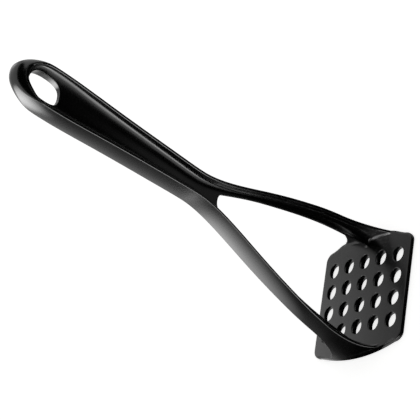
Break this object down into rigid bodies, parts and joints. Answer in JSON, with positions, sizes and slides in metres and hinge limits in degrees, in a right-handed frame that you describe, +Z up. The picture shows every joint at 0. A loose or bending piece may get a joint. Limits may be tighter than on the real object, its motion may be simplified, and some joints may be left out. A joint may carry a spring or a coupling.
{
  "type": "potato masher",
  "caption": "One-piece black moulded potato masher with a channelled forked handle, an oval hang hole and a flat perforated mashing plate.",
  "frame": {"origin": "middle of the mashing plate's flat underside, where the masher stands", "axes": "+Z up the handle to the hang end, X across the fork from foot to foot, Y through the thin depth of the grip"},
  "size_m": [0.0752, 0.0622, 0.263],
  "materials": {
    "black_nylon": "satin moulded glass-filled nylon"
  },
  "bodies": {
    "root": {"mashing_plate": "black_nylon", "left_foot": "black_nylon", "right_foot": "black_nylon", "left_arm": "black_nylon", "right_arm": "black_nylon", "fork": "black_nylon", "grip": "black_nylon", "hang_end": "black_nylon"}
  },
  "joints": []
}
